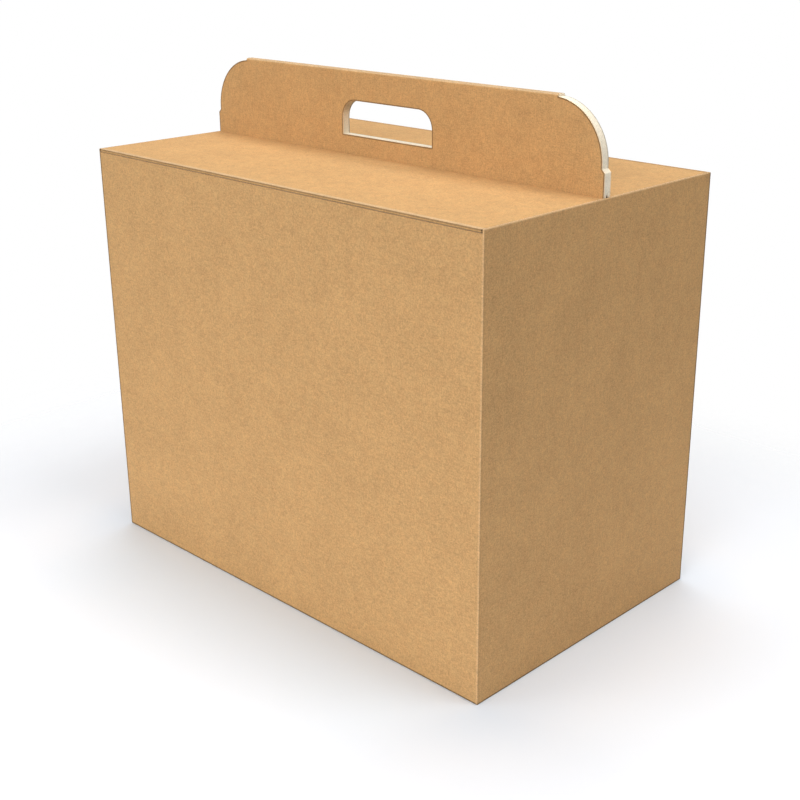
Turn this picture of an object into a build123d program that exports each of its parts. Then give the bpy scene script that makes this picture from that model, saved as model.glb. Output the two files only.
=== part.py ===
"""Carry box folded from kraft-faced board, with a lid that rises into a doubled carry handle.

Millimetres. The origin is on the underside, at the centre of the box. X runs along the front,
Y towards the back, where the lid is hinged, and Z up.
"""

import os
from math import acos, asin, degrees, sin, sqrt

from build123d import *

os.makedirs("parts", exist_ok=True)

# Outside of the closed box, without its handle
box_length = 350
box_depth = 212
box_height = 283

# Board, and how it is creased
board = 3
fold_radius = 0.7
crease_thickness = 1.75
edge_thickness = 2
bead_width = 1.1
clearance = 0.3

# Carry handle: two plies of the lid, folded over at the crown
handle_height = 54.8
handle_end_radius = 35
handle_end_step = 2.1
handle_shoulder = 14
crown_radius = 1.4
crown_drop = 1.5
crown_overlap = 2.7
ply_gap = 0.1

# Hand hole, through both plies
hole_length = 81.6
hole_height = 22.8
hole_floor = 12.65
hole_radius = 12

# Tuck flap, behind the front wall
tuck_depth = 46
tuck_side_play = 2
tuck_corner_radius = 18

# Dust flaps, folded in from the side walls under the lid
dust_flap_reach = 75
dust_flap_taper = 14
dust_flap_play = 1.5
dust_corner_radius = 8

# Bottom flaps and the glued corner joint
bottom_seam = 0.6
glue_tab_width = 35
glue_tab_slope = 16
glue_tab_play = 1.5
joint_setback = 0.3

# How far a cut runs past the board
overrun = 5

# Levels and edges that follow from these sizes
half_length = box_length / 2
half_depth = box_depth / 2
lid_under = box_height - board
lid_edge_under = box_height - min(edge_thickness, board)
wall_top = lid_edge_under - clearance
flap_top = lid_under - clearance
bead_face = half_length - bead_width
lid_half = bead_face - clearance
crease = min(fold_radius, bead_width / 2)
handle_face = board + ply_gap / 2
crown = box_height + handle_height
handle_half = lid_half - handle_end_step
pinch = min(crease_thickness, board)
bend_radius = (sqrt(2) * board - pinch) / (sqrt(2) - 1)


# Box body: walls, dust flaps, bottom flaps and glue tab, all one folded sheet
with BuildPart() as box_body:
    # Three corners are folds, and the one at the back left is where the sheet's ends are glued
    with BuildSketch():
        Rectangle(box_length, box_depth)
        fillet(vertices().filter_by(lambda v: v.X > 0 or v.Y < 0), crease)
    extrude(amount=box_height)
    fillet(faces().sort_by(Axis.Z)[0].edges(), crease)
    fillet(faces().sort_by(Axis.Z)[-1].edges(), crease)

    # Hollow between the walls, down to the bottom flaps
    with BuildSketch(Plane.XY.offset(board)):
        Rectangle(box_length - 2 * board, box_depth - 2 * board)
    extrude(amount=box_height, mode=Mode.SUBTRACT)

    # Front and back walls end under the lid, and the side walls' pinched folds stand beside it
    with BuildSketch(Plane.XY.offset(wall_top)):
        Rectangle(2 * bead_face, box_depth + 2 * overrun)
    extrude(amount=box_height, mode=Mode.SUBTRACT)

    # Side walls, between those folds, end level with the dust flaps
    with BuildSketch(Plane.XY.offset(flap_top)):
        Rectangle(2 * bead_face, box_depth - 2 * board)
    extrude(amount=box_height, mode=Mode.SUBTRACT)

    # The left wall's pinched fold stops where the wall turns in behind the back wall
    with BuildSketch(Plane.XY.offset(wall_top)):
        with Locations((-half_length, half_depth)):
            Rectangle(2 * bead_width + overrun, 2 * board)
    extrude(amount=box_height, mode=Mode.SUBTRACT)

    # Inner bottom flaps, one from each side wall, glued on the outer ones
    inner_flap_reach = half_depth
    with BuildSketch(Plane.XY.offset(board)):
        for side in (-1, 1):
            with Locations((side * (half_length - inner_flap_reach / 2), 0)):
                Rectangle(inner_flap_reach - board, box_depth - 2 * board)
    extrude(amount=board)

    # Outer bottom flaps: they meet in a seam and stand clear of the side walls' pinched folds
    with BuildSketch():
        Rectangle(2 * bead_face, bottom_seam)
        for side in (-1, 1):
            with Locations((side * (bead_face - clearance / 2), 0)):
                Rectangle(clearance, box_depth - 2 * board)
    extrude(amount=board, mode=Mode.SUBTRACT)

    # Tuck flap's swing, which the dust flaps leave free
    tuck_drop = box_height - lid_edge_under + tuck_depth
    tuck_reach = box_depth - board - clearance
    tuck_inset = tuck_reach - sqrt(tuck_reach**2 - tuck_drop**2)
    tuck_bulge = tuck_drop**2 / (8 * tuck_reach)

    # Dust flaps, just under the lid
    dust_front = -half_depth + 2 * board + clearance + tuck_bulge + dust_flap_play
    dust_back = half_depth - 2 * board - dust_flap_play
    dust_root = half_length - board / 2
    dust_tip = half_length - dust_flap_reach
    with BuildSketch(Plane.XY.offset(flap_top - board)):
        with BuildLine():
            Polyline(
                (dust_root, dust_front),
                (dust_tip, dust_front + dust_flap_taper),
                (dust_tip, dust_back - dust_flap_taper),
                (dust_root, dust_back),
                close=True,
            )
        make_face()
        fillet(vertices().group_by(Axis.X)[0], dust_corner_radius)
        mirror(about=Plane.YZ)
    extrude(amount=board)

    # Glue tab: the left wall's end, turned in behind the back wall
    tab_root = -half_length + board / 2
    tab_tip = -half_length + board + glue_tab_width
    tab_low = 2 * board + glue_tab_play
    tab_high = flap_top - board - glue_tab_play
    with BuildSketch(Plane.XZ.offset(-half_depth + board)):
        with BuildLine():
            Polyline(
                (tab_root, tab_low),
                (tab_tip, tab_low + glue_tab_slope),
                (tab_tip, tab_high - glue_tab_slope),
                (tab_root, tab_high),
                close=True,
            )
        make_face()
    extrude(amount=board)

    # Back wall's cut edge, a little short of the corner
    with BuildSketch():
        with Locations((-half_length, half_depth - board / 2)):
            Rectangle(2 * joint_setback, board)
    extrude(amount=box_height, mode=Mode.SUBTRACT)

    # Outside of the glue tab's turn, a groove beside the back wall's cut edge
    with BuildSketch():
        with BuildLine():
            CenterArc((-half_length + crease, half_depth - board - crease), crease, 90, 90)
            Polyline(
                (-half_length, half_depth - board - crease),
                (-half_length - overrun, half_depth - board - crease),
                (-half_length - overrun, half_depth - board),
                (-half_length + crease, half_depth - board),
            )
        make_face()
    extrude(amount=box_height, mode=Mode.SUBTRACT)

box_body.part.label = "box_body"
export_step(box_body.part, "parts/box_body.step")


# Lid: back half, handle's back ply, crown, front ply, front half and tuck flap, all one folded sheet
with BuildPart() as lid:
    # Section through the sheet, drawn behind the handle's middle and mirrored; its bends are pinched
    bend_x = ply_gap / 2 + bend_radius
    bend_z = lid_under + bend_radius
    edge_x = half_depth - board - clearance - board / 2
    with BuildSketch(Plane.YZ):
        with BuildLine() as half_section:
            Line((0, crown), (handle_face - crown_radius, crown))
            CenterArc((handle_face - crown_radius, crown - crown_radius), crown_radius, 0, 90)
            Polyline(
                (handle_face, crown - crown_radius),
                (handle_face, box_height),
                (half_depth - crease, box_height),
            )
            CenterArc((half_depth - crease, box_height - crease), crease, 0, 90)
            Polyline(
                (half_depth, box_height - crease),
                (half_depth, lid_edge_under),
                (edge_x, lid_edge_under),
                (edge_x, lid_under),
                (bend_x, lid_under),
            )
            CenterArc((bend_x, bend_z), bend_radius, 180, 90)
            Polyline(
                (ply_gap / 2, bend_z),
                (ply_gap / 2, crown - board),
                (0, crown - board),
            )
            mirror(about=Plane.YZ)
        make_face()
    extrude(amount=lid_half, both=True)

    # Handle's rounded ends, cut through both plies beyond the crown's fold
    end_centre_x = handle_half - handle_end_radius
    end_centre_z = crown - crown_drop - handle_end_radius
    shoulder = box_height + handle_shoulder
    crown_half = end_centre_x + crown_overlap
    crown_angle = acos(crown_overlap / handle_end_radius)
    with BuildSketch(Plane.XZ):
        with BuildLine():
            Polyline(
                (lid_half, shoulder),
                (handle_half, shoulder + handle_end_step),
                (handle_half, end_centre_z),
            )
            CenterArc((end_centre_x, end_centre_z), handle_end_radius, 0, degrees(crown_angle))
            Polyline(
                (crown_half, end_centre_z + handle_end_radius * sin(crown_angle)),
                (crown_half, crown + overrun),
                (lid_half + overrun, crown + overrun),
                (lid_half + overrun, shoulder),
                (lid_half, shoulder),
            )
        make_face()
        mirror(about=Plane.YZ)
    extrude(amount=handle_face + overrun, both=True, mode=Mode.SUBTRACT)

    # Hand hole, square below and rounded above
    with BuildSketch(Plane.XZ):
        with Locations((0, box_height + hole_floor + hole_height / 2)):
            Rectangle(hole_length, hole_height)
        fillet(vertices().group_by(Axis.Y)[-1], hole_radius)
    extrude(amount=handle_face + overrun, both=True, mode=Mode.SUBTRACT)

    # Tuck flap: it leans in just so far that its tip swings clear of the front wall
    tuck_lean = asin(tuck_inset / tuck_depth)
    tuck_half = half_length - board - tuck_side_play
    tuck_face = Plane(
        origin=(0, -half_depth + board + clearance, lid_edge_under),
        x_dir=(1, 0, 0),
        z_dir=Vector(0, 1, 0).rotate(Axis.X, degrees(tuck_lean)),
    )
    with BuildSketch(tuck_face):
        with Locations((0, (tuck_depth - board / 2) / 2)):
            Rectangle(2 * tuck_half, tuck_depth + board / 2)
        fillet(vertices().group_by(Axis.Y)[-1], tuck_corner_radius)
    extrude(amount=board)

lid.part.label = "lid"
export_step(lid.part, "parts/lid.step")
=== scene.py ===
"""Looks of the kraft carry box: its board, its handle's raw edges, its hinge crease and a white studio."""

import math

import bpy
import numpy as np
from bpy.props import FloatProperty, FloatVectorProperty, IntProperty, PointerProperty
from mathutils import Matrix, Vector


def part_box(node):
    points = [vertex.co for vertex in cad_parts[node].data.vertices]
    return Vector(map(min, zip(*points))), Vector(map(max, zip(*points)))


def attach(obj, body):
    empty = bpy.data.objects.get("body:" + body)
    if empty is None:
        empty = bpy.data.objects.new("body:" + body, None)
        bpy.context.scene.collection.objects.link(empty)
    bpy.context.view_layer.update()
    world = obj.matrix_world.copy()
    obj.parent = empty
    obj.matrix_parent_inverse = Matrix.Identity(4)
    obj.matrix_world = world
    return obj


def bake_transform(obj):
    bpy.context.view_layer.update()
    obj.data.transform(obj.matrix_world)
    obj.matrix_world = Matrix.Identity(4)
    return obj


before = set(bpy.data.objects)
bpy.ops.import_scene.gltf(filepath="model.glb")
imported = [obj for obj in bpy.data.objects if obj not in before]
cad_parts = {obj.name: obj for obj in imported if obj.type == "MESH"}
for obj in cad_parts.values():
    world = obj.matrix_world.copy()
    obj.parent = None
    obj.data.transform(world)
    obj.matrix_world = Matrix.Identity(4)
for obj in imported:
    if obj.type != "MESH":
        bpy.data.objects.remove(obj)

bl_info = {
    "name": "Kraft carry box",
    "version": (1, 0, 0),
    "blender": (4, 5, 0),
    "location": "3D View > Sidebar > Carry box",
    "description": "Board, raw edges, hinge crease and studio of a kraft carry box",
    "category": "Add Mesh",
}

MM = 0.001
BOX_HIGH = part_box("box_body")[1]
LID_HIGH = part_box("lid")[1]
HALF, BACK, TOP = BOX_HIGH
CROWN = LID_HIGH[2]

# The handle's plies stand straight above this height
ABOVE_FOOT = TOP + 3 * MM

# Corners of a CAD mesh this near to a face lie on it
LEVEL = 0.01 * MM

# Margins of the masks beside the faces where they end
HAIR = 0.05 * MM
THREAD = 0.1 * MM

# A face looks along an axis if its normal's share along it is above the first, and not if below the second
FACING = 0.6
TURNED_OFF = 0.4

# Share of the paper's grain that a cut shows
CUT_GRAIN = 0.6

# Across a raw edge, from 0 at the plies' joint to 1 at the handle's face: the core ends, the rim begins and
# rounds off, and beyond the face the liner strip with painted shade begins and ends
CORE_END = 0.76
RIM_START = 0.86
ROUND_START = 0.95
LINER_START = 1.04
LINER_END = 2.0

# Waves of a raw edge: length and share of each
WAVES = ((1.3 * MM, 0.5), (2.9 * MM, 0.8), (7.1 * MM, 1.0))

# Depth to which a raw edge sinks in where its plies part at the handle's foot
JOINT_DEPTH = 0.8 * MM

# Seed of a raw edge's random phases
SEED = 11

# Fine bumps: noise scale, strength and depth
FACE_BUMP = (1500.0, 0.25, 0.02 * MM)
EDGE_BUMP = (2500.0, 0.3, 0.05 * MM)
EDGE_ROUGHNESS = 0.85

# Bend between faces beyond which their shared edge is drawn sharp
SHARP_ANGLE = math.radians(35)

# The floor: rings of a disc, the first of which all but closes its middle, and corners of each ring
FLOOR_RINGS = (0.0001, 0.2, 0.4, 0.6, 0.8)
FLOOR_CORNERS = 96

# Point that the lamps look at
LAMP_TARGET = (0, 0, 0.1)

# Round soft lamps: name, place, width and share of their power
LAMPS = (
    ("overhead front", (0.55, -0.55, 3.0), 1.6, 0.160),
    ("overhead back", (-0.55, 0.55, 3.0), 1.6, 0.263),
    ("front right", (0.87, -2.68, 1.13), 2.0, 0.240),
    ("front left", (-1.62, -2.31, 1.13), 2.0, 0.152),
    ("back right", (1.41, 0.51, 2.7), 1.6, 0.185),
)


def corners_of(node):
    """Places of a CAD node's corners, one in each row."""
    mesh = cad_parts[node].data
    points = np.zeros(len(mesh.vertices) * 3)
    mesh.vertices.foreach_get("co", points)
    return points.reshape(-1, 3)


def read_sizes():
    """Sizes of the board and of its cut edges, read from the corners of the CAD box and lid.

    face is how far the handle's faces stand from its middle. front has the corners of its front face, and
    bend the inner corners of its bent foot, as height and distance from the middle. Shares of a size are
    rough borders that no corner lies near.
    """
    box, lid = corners_of("box_body"), corners_of("lid")
    face = np.abs(lid[lid[:, 2] > ABOVE_FOOT][:, 1]).max()
    front = lid[(np.abs(lid[:, 1] + face) < LEVEL) & (lid[:, 2] > TOP - LEVEL)]
    panel = lid[(np.abs(lid[:, 1]) > face) & (np.abs(lid[:, 1]) < 0.5 * BACK) & (lid[:, 2] < TOP)]
    high = box[box[:, 2] > 0.9 * TOP]
    flaps = high[(np.abs(high[:, 0]) < 0.9 * HALF) & (np.abs(high[:, 1]) < 0.9 * BACK)]
    end = lid[np.abs(lid[:, 0]) > LID_HIGH[0] - LEVEL]
    bend = end[(np.abs(end[:, 1]) < 0.98 * face) & (end[:, 2] < ABOVE_FOOT + 6 * MM)]
    return {
        "face": face,
        "front": np.unique(np.round(front[:, [0, 2]], 7), axis=0),
        "board": TOP - panel[:, 2].min(),
        "crown_half": np.abs(lid[lid[:, 2] > CROWN - LEVEL][:, 0]).max(),
        "wall_top": high[np.abs(high[:, 1]) > BACK - LEVEL][:, 2].min(),
        "flap_top": flaps[:, 2].max(),
        "edge_under": lid[np.abs(lid[:, 1]) > BACK - LEVEL][:, 2].min(),
        "bend": np.unique(np.round(np.abs(bend[:, [2, 1]]), 7), axis=0),
        "shoulder": end[:, 2].max(),
    }


SIZES = read_sizes()


class Term:
    """A number, colour or vector of a node tree. Sums, products and comparisons of terms add nodes."""

    def __init__(self, tree, socket=None):
        self.tree = tree
        self.socket = socket

    def node(self, kind, settings=None, inputs=None, output=0):
        """Adds a node of any kind: its settings first, then the values or links of its sockets."""
        node = self.tree.nodes.new(kind)
        for name, value in (settings or {}).items():
            setattr(node, name, value)
        for name, value in (inputs or {}).items():
            if isinstance(value, Term):
                self.tree.links.new(value.socket, node.inputs[name])
            else:
                node.inputs[name].default_value = value
        return Term(self.tree, node.outputs[output])

    def other(self, output):
        """Another output of the same node."""
        return Term(self.tree, self.socket.node.outputs[output])

    def split(self):
        """The three parts of this vector."""
        parts = self.node("ShaderNodeSeparateXYZ", inputs={0: self})
        return [parts.other(axis) for axis in "XYZ"]

    def join(self, output):
        """Joins this shader to the output node of its material or world."""
        self.tree.links.new(self.socket, output.inputs["Surface"])

    def colour(self, value):
        """A new colour, from its red, green and blue."""
        made = self.node("ShaderNodeRGB")
        made.socket.default_value = (*value, 1.0)
        return made

    def noise(self, place, scale, detail):
        """New noise from -1 to 1 around 0, with features of about 1 / scale metres."""
        inputs = {"Vector": place, "Scale": scale, "Detail": detail}
        return self.node("ShaderNodeTexNoise", {"normalize": False}, inputs)

    def math(self, operation, *operands):
        """A Math node over the operands."""
        return self.node("ShaderNodeMath", {"operation": operation}, dict(enumerate(operands)))

    def vector(self, operation, *operands):
        """A Vector Math node over the operands."""
        return self.node("ShaderNodeVectorMath", {"operation": operation}, dict(enumerate(operands)))

    def scaled(self, factor):
        """This colour or vector times a number."""
        return self.node("ShaderNodeVectorMath", {"operation": "SCALE"}, {0: self, "Scale": factor})

    def mixed(self, other, factor):
        """This colour turned into the other one by the factor, from 0 to 1."""
        settings = {"data_type": "RGBA", "clamp_factor": True}
        # The node's colours are its inputs 6 and 7 and its output 2
        return self.node("ShaderNodeMix", settings, {0: factor, 6: self, 7: other}, 2)

    def most(self, other):
        """The larger of this number and the other one."""
        return self.math("MAXIMUM", self, other)

    def step(self, low, high):
        """0 below low, 1 above high and a smooth rise between them."""
        inputs = {"Value": self, "From Min": low, "From Max": high}
        return self.node("ShaderNodeMapRange", {"interpolation_type": "SMOOTHSTEP"}, inputs)

    def __add__(self, other):
        return self.math("ADD", self, other)

    def __sub__(self, other):
        return self.math("SUBTRACT", self, other)

    def __rsub__(self, other):
        return self.math("SUBTRACT", other, self)

    def __mul__(self, other):
        return self.math("MULTIPLY", self, other)

    def __gt__(self, other):
        return self.math("GREATER_THAN", self, other)

    def __lt__(self, other):
        return self.math("LESS_THAN", self, other)

    def __neg__(self):
        return 0.0 - self

    def __abs__(self):
        return self.math("ABSOLUTE", self)

    __radd__ = __add__


def surface(name):
    """An empty material. Returns it with a term to build on and its output node."""
    material = bpy.data.materials.new(name)
    material.use_nodes = True
    material.node_tree.nodes.clear()
    output = material.node_tree.nodes.new("ShaderNodeOutputMaterial")
    return material, Term(material.node_tree), output


def fibres(start, place):
    """Brightness of kraft paper around 0: grain, fibres across each other, flecks and cloudy patches."""
    grain = start.noise(place, 1250.0, 2.0)
    coarse = start.noise(place, 520.0, 1.0)
    level = start.vector("MULTIPLY", place, (0.16, 0.16, 1.0))
    upright = start.vector("MULTIPLY", place, (1.0, 1.0, 0.16))
    threads = start.noise(level, 1500.0, 1.0) + start.noise(upright, 1500.0, 1.0)
    flecks = start.noise(place, 700.0, 0.0).step(0.42, 0.62)
    patches = start.noise(place, 130.0, 3.0)
    clouds = start.noise(place, 30.0, 2.0)
    return grain * 0.21 + coarse * 0.06 + threads * 0.07 + patches * 0.045 + clouds * 0.05 - flecks * 0.1


def paper(start, place, look):
    """Kraft liner before its fibres: its brown, a little redder in places."""
    red, green, blue = look.liner
    redder = start.colour((red * 1.01, green * 0.985, blue * 0.97))
    return start.colour(look.liner).mixed(redder, start.noise(place, 160.0, 2.0).step(-0.5, 0.5))


def shade(start, output, place, colour, roughness, bump):
    """A Principled shader with the paper's constants and a fine bump, joined to the output."""
    scale, strength, depth = bump
    inputs = {"Strength": strength, "Distance": depth, "Height": start.noise(place, scale, 2.0)}
    normal = start.node("ShaderNodeBump", inputs=inputs)
    inputs = {"Base Color": colour, "Roughness": roughness, "Specular IOR Level": 0.25, "Normal": normal}
    start.node("ShaderNodeBsdfPrincipled", inputs=inputs).join(output)


def cut_on_lid(places, normals):
    """1 on the cut edges of the lid's sheet: its ends, and the rims of its handle and tuck flap."""
    x, y, z = places
    nx, ny, _ = normals
    upright = ny < FACING
    on_crown = (abs(x) < SIZES["crown_half"] - THREAD) * (z > CROWN - 2.0 * MM)
    handle = (z > TOP + 1.0 * MM) * upright * (1.0 - on_crown)
    tuck = (z < TOP - SIZES["board"] - 4.0 * MM) * upright
    ends = (nx > FACING) * (abs(y) < BACK - 1.0 * MM)
    return (handle + tuck + ends) > 0.5


def cut_on_box(places, normals):
    """1 on the cut edges of the box's sheet: wall tops, the inner flaps' rims and the glued joint."""
    x, y, z = places
    nx, ny, nz = normals
    board, wall_top, flap_top = SIZES["board"], SIZES["wall_top"], SIZES["flap_top"]
    at_wall_top = (z > wall_top - THREAD) * (z < wall_top + THREAD)
    wall_tops = (nz > FACING) * at_wall_top * (abs(y) < BACK - 0.35 * MM)
    inside = (abs(x) < HALF - board - HAIR) * (abs(y) < BACK - board - HAIR)
    flap_rims = (z > flap_top - board - THREAD) * (nz < TURNED_OFF)
    bottom_rims = (z < 2.0 * board + THREAD) * (nz < TURNED_OFF)
    tab_rims = (y > BACK - 2.0 * board - HAIR) * (ny < FACING) * (z < flap_top - 2.0 * board)
    joint = (x < 0.5 * MM - HALF) * (y > BACK - board + HAIR) * (nx > FACING)
    return (wall_tops + inside * (flap_rims + bottom_rims + tab_rims) + joint) > 0.5


def rounded(normals):
    """1 where the surface looks well between two axes, as on a rounded fold."""
    nx, ny, nz = normals
    return (1.0 - nx.most(ny).most(nz)).step(0.03, 0.2)


def painted_light_on_lid(places, normals):
    """How much painted highlight lies on the lid's liner, and how much painted shade in shares of its
    strength.

    The painted highlight lies on the bends that look up, along the front fold and on the crown. Painted
    shade lies on the outer faces of the front and back fold in two lines and at the ends, above the back
    fold and a little on the crown.
    """
    x, y, z = places
    nz = normals[2]
    under = SIZES["edge_under"]
    outer = (abs(y) > BACK - 0.6 * MM) * (z > under - THREAD) * (z < TOP - 0.15 * MM)
    upper = z.step(TOP - 1.1 * MM, TOP - 0.95 * MM)
    lower = 1.0 - z.step(under + 0.3 * MM, under + 0.5 * MM)
    end = abs(x) > LID_HIGH[0] - 0.9 * MM
    back = y.step(BACK - 4.5 * MM, BACK - 3.0 * MM) * (nz > 0.5)
    front = (-y).step(BACK - 3.6 * MM, BACK - 2.2 * MM) * (nz > 0.5)
    crown = z > CROWN - 0.3 * MM
    # Painted highlight
    pale = (rounded(normals) * (nz > 0.5)).most(front).most(crown)
    # Painted shade
    dark = (outer * (upper + lower * 0.8 + end + 0.2)).most(back * 0.7).most(crown * 0.25)
    return pale, dark


def painted_light_on_box(places, normals):
    """The same for the box, where dark goes below 0 for a painted highlight.

    The painted highlight lies along the side walls' pinched bends beside the lid and on the right front
    corner, brightest on that corner's front side. Painted shade lies on the other upright corners, faintly
    on the side walls beside the front corners, and at the walls' foot as a painted contact shadow.
    """
    x, y, z = places
    nx, ny, nz = normals
    near = (x > 0.0) * (y < 0.0)
    bead = (abs(x) > LID_HIGH[0] + THREAD) * (z > TOP - 0.7 * MM)
    corner = x.step(HALF - 1.6 * MM, HALF - 0.5 * MM) * (ny > 0.7) * near
    side = (-y).step(BACK - 2.0 * MM, BACK - 0.9 * MM) * (nx > 0.7)
    left = (-x).step(HALF - 1.8 * MM, HALF - 1.0 * MM) * (ny > 0.7)
    back = y.step(BACK - 1.8 * MM, BACK - 1.0 * MM) * (nx > 0.7)
    foot = 1.0 - z.step(0.8 * MM, 1.4 * MM)
    upright_fold = rounded(normals) * (nz < 0.3)
    # Painted highlight
    pale = (bead * 0.6).most(upright_fold * near * 0.6).most(corner * 0.5)
    outline = left.most(back).most(upright_fold * (1.0 - near))
    # Painted shade, and at the walls' foot a painted contact shadow
    dark = (side * 0.2).most(outline * 1.7).most(foot * 1.9)
    return pale, dark - corner * 0.45


def kraft(look, name, painted_light=None, cut=None):
    """Kraft board: brown liner, painted highlight and shade where the light masks say so, cream where cut
    does.
    """
    material, start, output = surface(name)
    place = start.node("ShaderNodeTexCoord", output="Object")
    texture = fibres(start, place)
    grain = 1.0 + texture * look.grain
    colour = paper(start, place, look).scaled(grain)
    if painted_light:
        places = place.split()
        normals = [abs(part) for part in place.other("Normal").split()]
        pale, dark = painted_light(places, normals)
        # Painted highlight: the paler colour mixed in on the highlight mask
        colour = colour.mixed(start.colour(look.fold).scaled(grain), pale * 0.8)
        # Painted shade: darker on the shade mask
        colour = colour.scaled(1.0 - dark * look.painted_shade)
        core = start.colour(look.core).scaled(1.0 + texture * (look.grain * CUT_GRAIN))
        colour = colour.mixed(core, cut(places, normals))
    shade(start, output, place, colour, look.roughness, FACE_BUMP)
    return material


def edge_board(look, name):
    """Raw board edge by the attribute across: core up to 0.72, rim from 0.8, and liner with painted shade
    from 1 to 2.

    The back ply's rim has painted shade, darker than the core, except on the handle's ends below their
    shoulders. The crown's end has painted shade too.
    """
    material, start, output = surface(name)
    place = start.node("ShaderNodeTexCoord", output="Object")
    x, y, z = place.split()
    looking_up = place.other("Normal").split()[2]
    across = start.node("ShaderNodeAttribute", {"attribute_name": "across"}, output="Fac")
    texture = fibres(start, place)
    back_rim = (y > 0.0) * (z > SIZES["shoulder"] + 2.0 * MM).most(abs(x) < 0.5 * HALF)
    crown_end = (z > CROWN - 1.4 * MM) * (abs(x) < SIZES["crown_half"] + 0.3 * MM)
    edge = start.colour(look.core).mixed(start.colour(look.lip), across.step(0.72, 0.8) * (1.0 - back_rim))
    edge = edge.scaled(1.0 + texture * (look.grain * CUT_GRAIN))
    edge = edge.scaled(1.0 - (-looking_up).step(0.0, 0.7) * look.under_shade)
    # Painted shade on the back ply's rim and on the crown's end
    edge = edge.scaled(1.0 - (back_rim * across.step(0.6, 0.85)).most(crown_end) * (look.painted_shade * 1.2))
    # Painted shade on the liner beside the cut, fading out towards its far side
    shaded = 1.0 - across.step(1.6, 1.95)
    liner = paper(start, place, look).scaled(1.0 - shaded * (look.painted_shade * 1.5))
    liner = liner.scaled(1.0 + texture * look.grain)
    shade(start, output, place, edge.mixed(liner, across > 1.02), EDGE_ROUGHNESS, EDGE_BUMP)
    return material


def grid_object(name, grids, closed_rows=False, closed_columns=False):
    """A mesh object of quads over grids of points, rows by columns, smooth but for its sharp edges."""
    quads = []
    first_point = 0
    for points in grids:
        rows, columns = points.shape[:2]
        row = np.arange(rows if closed_rows else rows - 1)[:, None]
        column = np.arange(columns if closed_columns else columns - 1)[None]
        next_row = (row + 1) % rows
        next_column = (column + 1) % columns
        ring = [row * columns + column, row * columns + next_column]
        ring += [next_row * columns + next_column, next_row * columns + column]
        quads.append(np.stack(np.broadcast_arrays(*ring), -1).reshape(-1, 4) + first_point)
        first_point += rows * columns
    points = np.concatenate([points.reshape(-1, 3) for points in grids])
    mesh = bpy.data.meshes.new(name)
    mesh.from_pydata(points.tolist(), [], np.concatenate(quads).tolist())
    mesh.shade_smooth()
    mesh.set_sharp_from_angle(angle=SHARP_ANGLE)
    made = bpy.data.objects.new(name, mesh)
    bpy.context.scene.collection.objects.link(made)
    return made


def store(made, name, values):
    """Gives an object's mesh a number at each vertex."""
    attribute = made.data.attributes.new(name, "FLOAT", "POINT")
    attribute.data.foreach_set("value", np.ascontiguousarray(values, np.float32).ravel())


def handle_outline():
    """Corners of the handle's front face on the CAD lid: its right end from below, and around the hole.

    The end lies beyond 0.6 of the handle's reach, and the hand hole within 0.4 of it.
    """
    front = SIZES["front"]
    x, z = front.T
    reach = x.max()
    end = front[x > 0.6 * reach]
    end = end[np.lexsort((-end[:, 0], end[:, 1]))]
    hole = front[(np.abs(x) < 0.4 * reach) & (z > ABOVE_FOOT) & (z < CROWN - 8 * MM)]
    middle = (hole.min(0) + hole.max(0)) / 2
    turn = np.arctan2(hole[:, 1] - middle[1], hole[:, 0] - middle[0])
    return end, hole[np.argsort(-turn)]


def along_path(corners, closed, step):
    """Points about one step apart along straight lines between the corners, with their outward normals.

    The normal is the path's direction turned a quarter to the right, averaged at each corner.
    """
    after = np.roll(corners, -1, 0) if closed else corners[1:]
    before = corners if closed else corners[:-1]
    runs = after - before
    lengths = np.hypot(runs[:, 0], runs[:, 1])
    steps = np.maximum(1, np.round(lengths / step)).astype(int)
    share = np.concatenate([np.arange(n) / n for n in steps])
    index = np.repeat(np.arange(len(steps)), steps)
    points = before[index] + runs[index] * share[:, None]
    if not closed:
        points = np.vstack([points, corners[-1]])
    ahead = np.roll(points, -1, 0) - points
    behind = points - np.roll(points, 1, 0)
    if not closed:
        ahead[-1] = behind[-1]
        behind[0] = ahead[0]
    ahead /= np.hypot(ahead[:, 0], ahead[:, 1])[:, None]
    behind /= np.hypot(behind[:, 0], behind[:, 1])[:, None]
    direction = ahead + behind
    direction /= np.hypot(direction[:, 0], direction[:, 1])[:, None]
    return points, np.stack([direction[:, 1], -direction[:, 0]], -1)


def edge_waves(rng, run, s):
    """Unevenness along a run and across it: sines of a few millimetres, with random phases."""
    waves = np.zeros((len(run), len(s)))
    for length, size in WAVES:
        phase = rng.uniform(0, 2 * np.pi, 2)
        angle = 2 * np.pi * run / length
        waves += size * np.sin(angle + phase[0] + 2.0 * s[None] + np.sin(0.37 * angle + phase[1]))
    return waves


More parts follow.
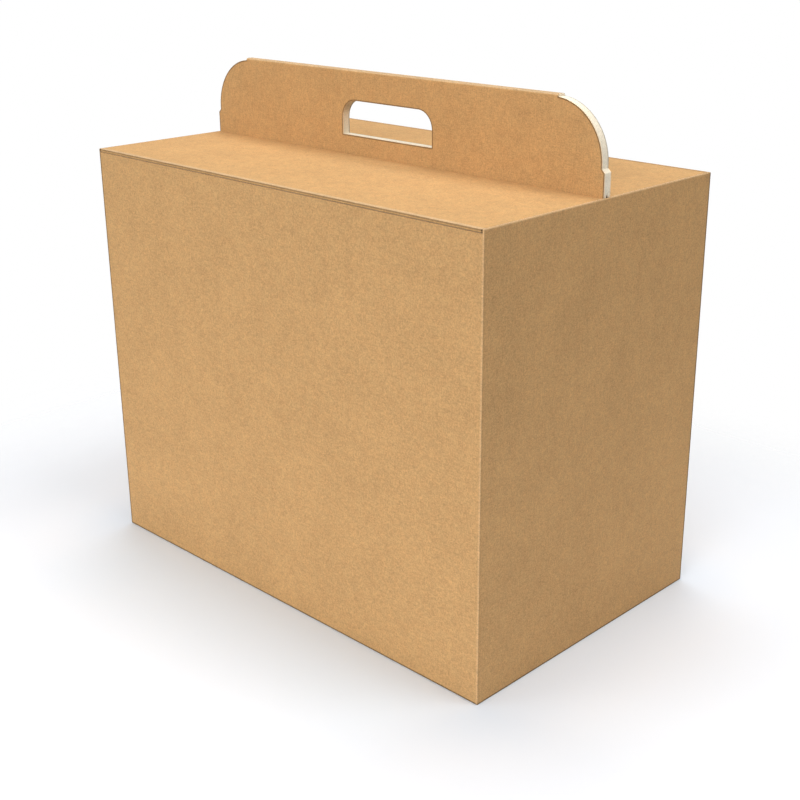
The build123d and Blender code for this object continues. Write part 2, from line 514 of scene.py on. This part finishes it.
def band(name, corners, closed, look):
    """A raw edge of both plies, carried along the corners: core, rim, and a liner strip with painted shade
    on the face.

    On each ply s runs from 0 at the plies' joint to 1 at the handle's face and on to 2 over the liner
    strip. Up to 1 the surface stands at core + (lip - core) * r, where r rises smoothly from 0 to 1 as s
    goes from
    CORE_END to RIM_START, and is rounded off beyond ROUND_START. Waves make its core uneven.
    Beyond 1 it lies on the face, and its far side sinks in. Near the handle's foot the joint opens, and
    s = 0 follows the bent plies.
    """
    points, normals = along_path(corners, closed, look.edge_step)
    core, rim = np.linspace(0.0, 0.74, 7), np.linspace(0.78, 0.94, 7)
    s = np.concatenate([[0.0], core, rim, np.linspace(0.96, 1.0, 4)])
    rise = np.clip((s - CORE_END) / (RIM_START - CORE_END), 0, 1)
    rise = rise * rise * (3 - 2 * rise)
    height = look.core_height + (look.lip_height - look.core_height) * rise
    height -= 0.6 * look.lip_height * np.clip((s - ROUND_START) / (1 - ROUND_START), 0, 1) ** 2
    bend = SIZES["bend"]
    opening = np.interp(points[:, 1], bend[:, 0], bend[:, 1])
    opening = np.where(points[:, 1] > bend[-1, 0] - 0.3 * MM, 0, opening)
    rng = np.random.default_rng(SEED)
    run = np.concatenate([[0.0], np.cumsum(np.hypot(*np.diff(points, axis=0).T))])[:, None]
    # Columns beyond the face: a thin strip laid on the handle's face, which carries the painted shade
    # beside the cut
    beyond = np.array([LINER_START, 1.3, 1.6, 1.9, LINER_END])
    across = np.concatenate([s, beyond])
    lift = np.array([0.03, 0.03, 0.03, 0.03, -0.03]) * MM
    grids, marks = [], []
    for side in (-1, 1):
        waves = edge_waves(rng, run, s)
        waves *= look.unevenness * (1 - rise)[None] * np.minimum(1, s * 20)[None]
        offset = np.zeros((len(points), len(across)))
        offset[:, :len(s)] = height[None] + waves
        offset[:, 0] = np.where(opening > 0, -JOINT_DEPTH, look.core_height)
        offset[:, len(s):] = (0.4 * look.lip_height - (beyond - LINER_START) * look.shade_width)[None]
        flat = points[:, None] + normals[:, None] * offset[..., None]
        depth = opening[:, None] + np.minimum(across, 1)[None] * (SIZES["face"] - opening[:, None])
        depth[:, len(s):] += lift[None]
        grid = np.stack([flat[..., 0], side * depth, flat[..., 1]], -1)
        grids.append(grid if side > 0 else grid[:, ::-1])
        marks.append(np.broadcast_to(across[:: side], offset.shape))
    made = grid_object(name, grids, closed_rows=closed)
    store(made, "across", np.concatenate([mark.ravel() for mark in marks]))
    return made


def colour_setting(name, about, default):
    """A colour among the settings."""
    return FloatVectorProperty(name=name, description=about, default=default, size=3, subtype="COLOR")


def length_setting(name, about, default, low=0.0):
    """A length among the settings."""
    return FloatProperty(name=name, description=about, default=default, min=low, unit="LENGTH", precision=5)


def share_setting(name, about, default, high=1.0):
    """A share from 0 among the settings."""
    return FloatProperty(name=name, description=about, default=default, min=0.0, max=high, subtype="FACTOR")


class CarryBoxBoard(bpy.types.PropertyGroup):
    """Colours and grain of the board."""

    liner: colour_setting("Liner", "Colour of the kraft faces", (0.579, 0.343, 0.144))
    # Painted highlight: the paler colour laid on bends and corners where light catches them
    fold: colour_setting("Fold", "Colour where the kraft face is bent", (0.6, 0.41, 0.23))
    core: colour_setting("Core", "Colour of the cut board between its faces", (0.97, 0.86, 0.68))
    lip: colour_setting("Lip", "Colour of the cut faces' rims", (1.0, 0.82, 0.58))
    grain: FloatProperty(
        name="Grain", description="Strength of the fibres and patches", default=1.0, min=0.0, soft_max=3.0
    )
    # Painted shade: how much darker fold lines, outlines, the walls' foot, cut rims and the liner beside
    # cuts are drawn
    painted_shade: share_setting("Shade", "How much darker a pressed fold is", 0.35, 0.6)
    under_shade: share_setting("Under shade", "How much darker a cut is where it looks down", 0.45)
    roughness: share_setting("Roughness", "Roughness of the kraft faces", 0.82)


class CarryBoxEdges(bpy.types.PropertyGroup):
    """Sizes of the raw edges of the handle."""

    lip_height: length_setting("Lip height", "How far a cut liner stands out", 0.12 * MM)
    core_height: length_setting("Core height", "How far the cut core stands out", 0.06 * MM)
    unevenness: length_setting("Unevenness", "Waviness of the cut", 0.006 * MM)
    # Width of the liner strip beside a cut over which its painted shade fades out
    shade_width: length_setting("Shading width", "How far the liner is pressed beside a cut", 1.1 * MM)
    edge_step: length_setting("Edge step", "Spacing of the points along a cut", 0.5 * MM, 0.1 * MM)


class CarryBoxCrease(bpy.types.PropertyGroup):
    """Sizes of the crease that hinges the lid."""

    setback: length_setting("Setback", "How far the crease ends before the lid's ends", 0.2 * MM)
    rows: IntProperty(name="Rows", description="Rows of faces across the bend", default=10, min=2)


class CarryBoxStudio(bpy.types.PropertyGroup):
    """Floor and light."""

    floor_colour: colour_setting("Floor", "Colour of the floor", (0.885, 0.905, 0.94))
    # Painted shade on the floor: darker and less red beside the box and before its front wall, where its
    # shadow and warm bounce fall
    near_shade_colour: colour_setting("Floor near", "Colour of the floor beside the box", (0.822, 0.872, 0.936))
    front_shade_colour: colour_setting(
        "Floor in front", "Colour of the floor before the front wall", (0.822, 0.889, 0.955)
    )
    sky: FloatProperty(name="Sky", description="Strength of the even light", default=0.06, min=0.0)
    far_floor: FloatProperty(
        name="Far floor", description="Strength of the light from beyond the disc", default=0.36, min=0.0
    )
    lamps: FloatProperty(
        name="Lamps", description="Power of all the lamps together", default=155.4, min=0.0, unit="POWER"
    )


class CARRYBOX_OT_board(bpy.types.Operator):
    """Gives the CAD box and lid their kraft board"""

    bl_idname = "carry_box.board"
    bl_label = "Kraft board"

    def execute(self, context):
        look = context.scene.carry_box_board
        for node, name, painted_light, cut in (
            ("box_body", "kraft body", painted_light_on_box, cut_on_box),
            ("lid", "kraft lid", painted_light_on_lid, cut_on_lid),
        ):
            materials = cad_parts[node].data.materials
            materials.clear()
            materials.append(kraft(look, name, painted_light, cut))
        return {"FINISHED"}


class CARRYBOX_OT_edges(bpy.types.Operator):
    """Adds the raw edges at the handle's ends and around its hand hole"""

    bl_idname = "carry_box.edges"
    bl_label = "Raw edges"

    def execute(self, context):
        sizes = context.scene.carry_box_edges
        material = edge_board(context.scene.carry_box_board, "raw edge")
        end, hole = handle_outline()
        left = end[::-1] * (-1, 1)
        for name, corners, closed in (
            ("handle_end_right", end, False),
            ("handle_end_left", left, False),
            ("hand_hole_edge", hole, True),
        ):
            made = band(name, corners, closed, sizes)
            made.data.materials.append(material)
            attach(made, "lid")
        return {"FINISHED"}


class CARRYBOX_OT_crease(bpy.types.Operator):
    """Adds the creased liner that joins the back wall to the lid"""

    bl_idname = "carry_box.crease"
    bl_label = "Hinge crease"

    def execute(self, context):
        sizes = context.scene.carry_box_crease
        low, high = SIZES["wall_top"], SIZES["edge_under"]
        half = LID_HIGH[0] - sizes.setback
        rise = np.linspace(low, high, sizes.rows + 1)
        outer = np.stack([np.full_like(rise, BACK), rise], -1)
        inner = np.stack([np.full_like(rise, BACK - SIZES["board"]), rise], -1)
        section = np.vstack([outer, inner[::-1]])
        grid = np.zeros((2, len(section), 3))
        grid[..., 0] = np.array([[-half], [half]])
        grid[..., 1:] = section
        made = grid_object("hinge_crease", [grid], closed_columns=True)
        made.data.materials.append(kraft(context.scene.carry_box_board, "kraft crease"))
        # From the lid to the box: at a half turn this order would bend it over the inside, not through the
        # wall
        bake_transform(made)
        return {"FINISHED"}


def seen_rays(start):
    """1 for the rays that show a surface to the camera, directly, mirrored or through glass."""
    rays = start.node("ShaderNodeLightPath", output="Is Camera Ray")
    return rays + rays.other("Is Glossy Ray") + rays.other("Is Transmission Ray")


def floor_paint(look):
    """The floor's material: white, with painted shade beside the box, and clear from afar to show the
    world.
    """
    material, start, output = surface("floor")
    place = start.node("ShaderNodeTexCoord", output="Object")
    x, y, _ = place.split()
    reach = start.vector("SUBTRACT", start.vector("ABSOLUTE", place), (HALF, BACK, 0.0))
    reach = start.vector("MAXIMUM", reach, (0.0, 0.0, 0.0))
    distance = start.node("ShaderNodeVectorMath", {"operation": "LENGTH"}, {0: reach}, "Value")
    far = start.colour(look.floor_colour)
    # Painted shade: the floor darkens and turns a little bluer towards the box and its front wall
    near = start.colour(look.near_shade_colour).mixed(far, distance.step(0.0, 0.06))
    front = start.colour(look.front_shade_colour).mixed(far, distance.step(0.02, 0.16))
    before = (-y).step(BACK - 0.02, BACK + 0.02)
    beside = abs(x).step(HALF - 0.05, HALF + 0.03)
    colour = near.mixed(front, before * (1.0 - beside))
    inputs = {"Base Color": colour, "Roughness": 1.0, "Specular IOR Level": 0.0}
    paint = start.node("ShaderNodeBsdfPrincipled", inputs=inputs)
    clear = start.node("ShaderNodeBsdfTransparent")
    away = distance.step(0.28, 0.5).most(distance.step(0.12, 0.32) * seen_rays(start))
    start.node("ShaderNodeMixShader", inputs={0: away, 1: paint, 2: clear}).join(output)
    return material


def studio_world(look):
    """A world of even light, white to the camera. Its lower half stands in for the floor's far part."""
    world = bpy.data.worlds.new("studio")
    world.use_nodes = True
    world.node_tree.nodes.clear()
    start = Term(world.node_tree)
    height = start.node("ShaderNodeTexCoord", output="Generated").split()[2]
    strength = (height < 0.0) * look.far_floor + look.sky
    light = start.node("ShaderNodeBackground", inputs={"Color": (1, 1, 1, 1), "Strength": strength})
    white = start.node("ShaderNodeBackground", inputs={"Color": (1, 1, 1, 1), "Strength": 1.0})
    output = world.node_tree.nodes.new("ShaderNodeOutputWorld")
    start.node("ShaderNodeMixShader", inputs={0: seen_rays(start), 1: light, 2: white}).join(output)
    return world


def area_lamp(name, place, target, width, power):
    """Adds a round lamp at a place, which looks at the target."""
    lamp = bpy.data.lights.new(name, "AREA")
    lamp.shape = "DISK"
    lamp.size = width
    lamp.energy = power
    made = bpy.data.objects.new(name, lamp)
    made.location = place
    made.rotation_euler = (Vector(target) - Vector(place)).to_track_quat("-Z", "Y").to_euler()
    bpy.context.scene.collection.objects.link(made)


def photo_camera():
    """The camera, solved from the photograph's outlines."""
    camera = bpy.data.cameras.new("camera")
    camera.sensor_width = 36
    camera.lens = 58.6137
    camera.shift_x = -0.025211
    camera.shift_y = -0.010716
    made = bpy.data.objects.new("camera", camera)
    made.location = (0.602259, -0.595374, 0.435797)
    made.rotation_euler = [math.radians(angle) for angle in (69.6773, 0.132, 43.9643)]
    return made


class CARRYBOX_OT_studio(bpy.types.Operator):
    """Adds the white floor, the soft light and the photograph's camera"""

    bl_idname = "carry_box.studio"
    bl_label = "Studio"

    def execute(self, context):
        look = context.scene.carry_box_studio
        turn = np.linspace(0, 2 * np.pi, FLOOR_CORNERS + 1)[:-1]
        radius = np.array(FLOOR_RINGS)[:, None]
        grid = np.zeros((len(FLOOR_RINGS), FLOOR_CORNERS, 3))
        grid[..., 0] = radius * np.cos(turn)
        grid[..., 1] = radius * np.sin(turn)
        floor = grid_object("floor", [grid[::-1]], closed_columns=True)
        floor.data.materials.append(floor_paint(look))
        context.scene.world = studio_world(look)
        for name, place, width, share in LAMPS:
            area_lamp(name, place, LAMP_TARGET, width, look.lamps * share)
        camera = photo_camera()
        context.scene.collection.objects.link(camera)
        context.scene.camera = camera
        context.scene.view_settings.view_transform = "Standard"
        return {"FINISHED"}


class CARRYBOX_PT_panel(bpy.types.Panel):
    """Lists the carry box's pieces and their settings"""

    bl_label = "Carry box"
    bl_idname = "CARRYBOX_PT_panel"
    bl_space_type = "VIEW_3D"
    bl_region_type = "UI"
    bl_category = "Carry box"

    def draw(self, context):
        for operator, group in STEPS:
            box = self.layout.box()
            box.operator(operator.bl_idname)
            settings = getattr(context.scene, group)
            for name in settings.__annotations__:
                box.prop(settings, name)


STEPS = (
    (CARRYBOX_OT_board, "carry_box_board"),
    (CARRYBOX_OT_edges, "carry_box_edges"),
    (CARRYBOX_OT_crease, "carry_box_crease"),
    (CARRYBOX_OT_studio, "carry_box_studio"),
)
GROUPS = {
    "carry_box_board": CarryBoxBoard,
    "carry_box_edges": CarryBoxEdges,
    "carry_box_crease": CarryBoxCrease,
    "carry_box_studio": CarryBoxStudio,
}
CLASSES = (*GROUPS.values(), *(operator for operator, _ in STEPS), CARRYBOX_PT_panel)


def register():
    """Registers the classes and gives each scene their settings."""
    for made in CLASSES:
        bpy.utils.register_class(made)
    for name, group in GROUPS.items():
        setattr(bpy.types.Scene, name, PointerProperty(type=group))


def unregister():
    """Takes back what register did."""
    for name in GROUPS:
        delattr(bpy.types.Scene, name)
    for made in reversed(CLASSES):
        bpy.utils.unregister_class(made)


def main():
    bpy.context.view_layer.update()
    register()
    bpy.ops.carry_box.board()
    bpy.ops.carry_box.edges()
    bpy.ops.carry_box.crease()
    bpy.ops.carry_box.studio()


if __name__ == "__main__":
    main()
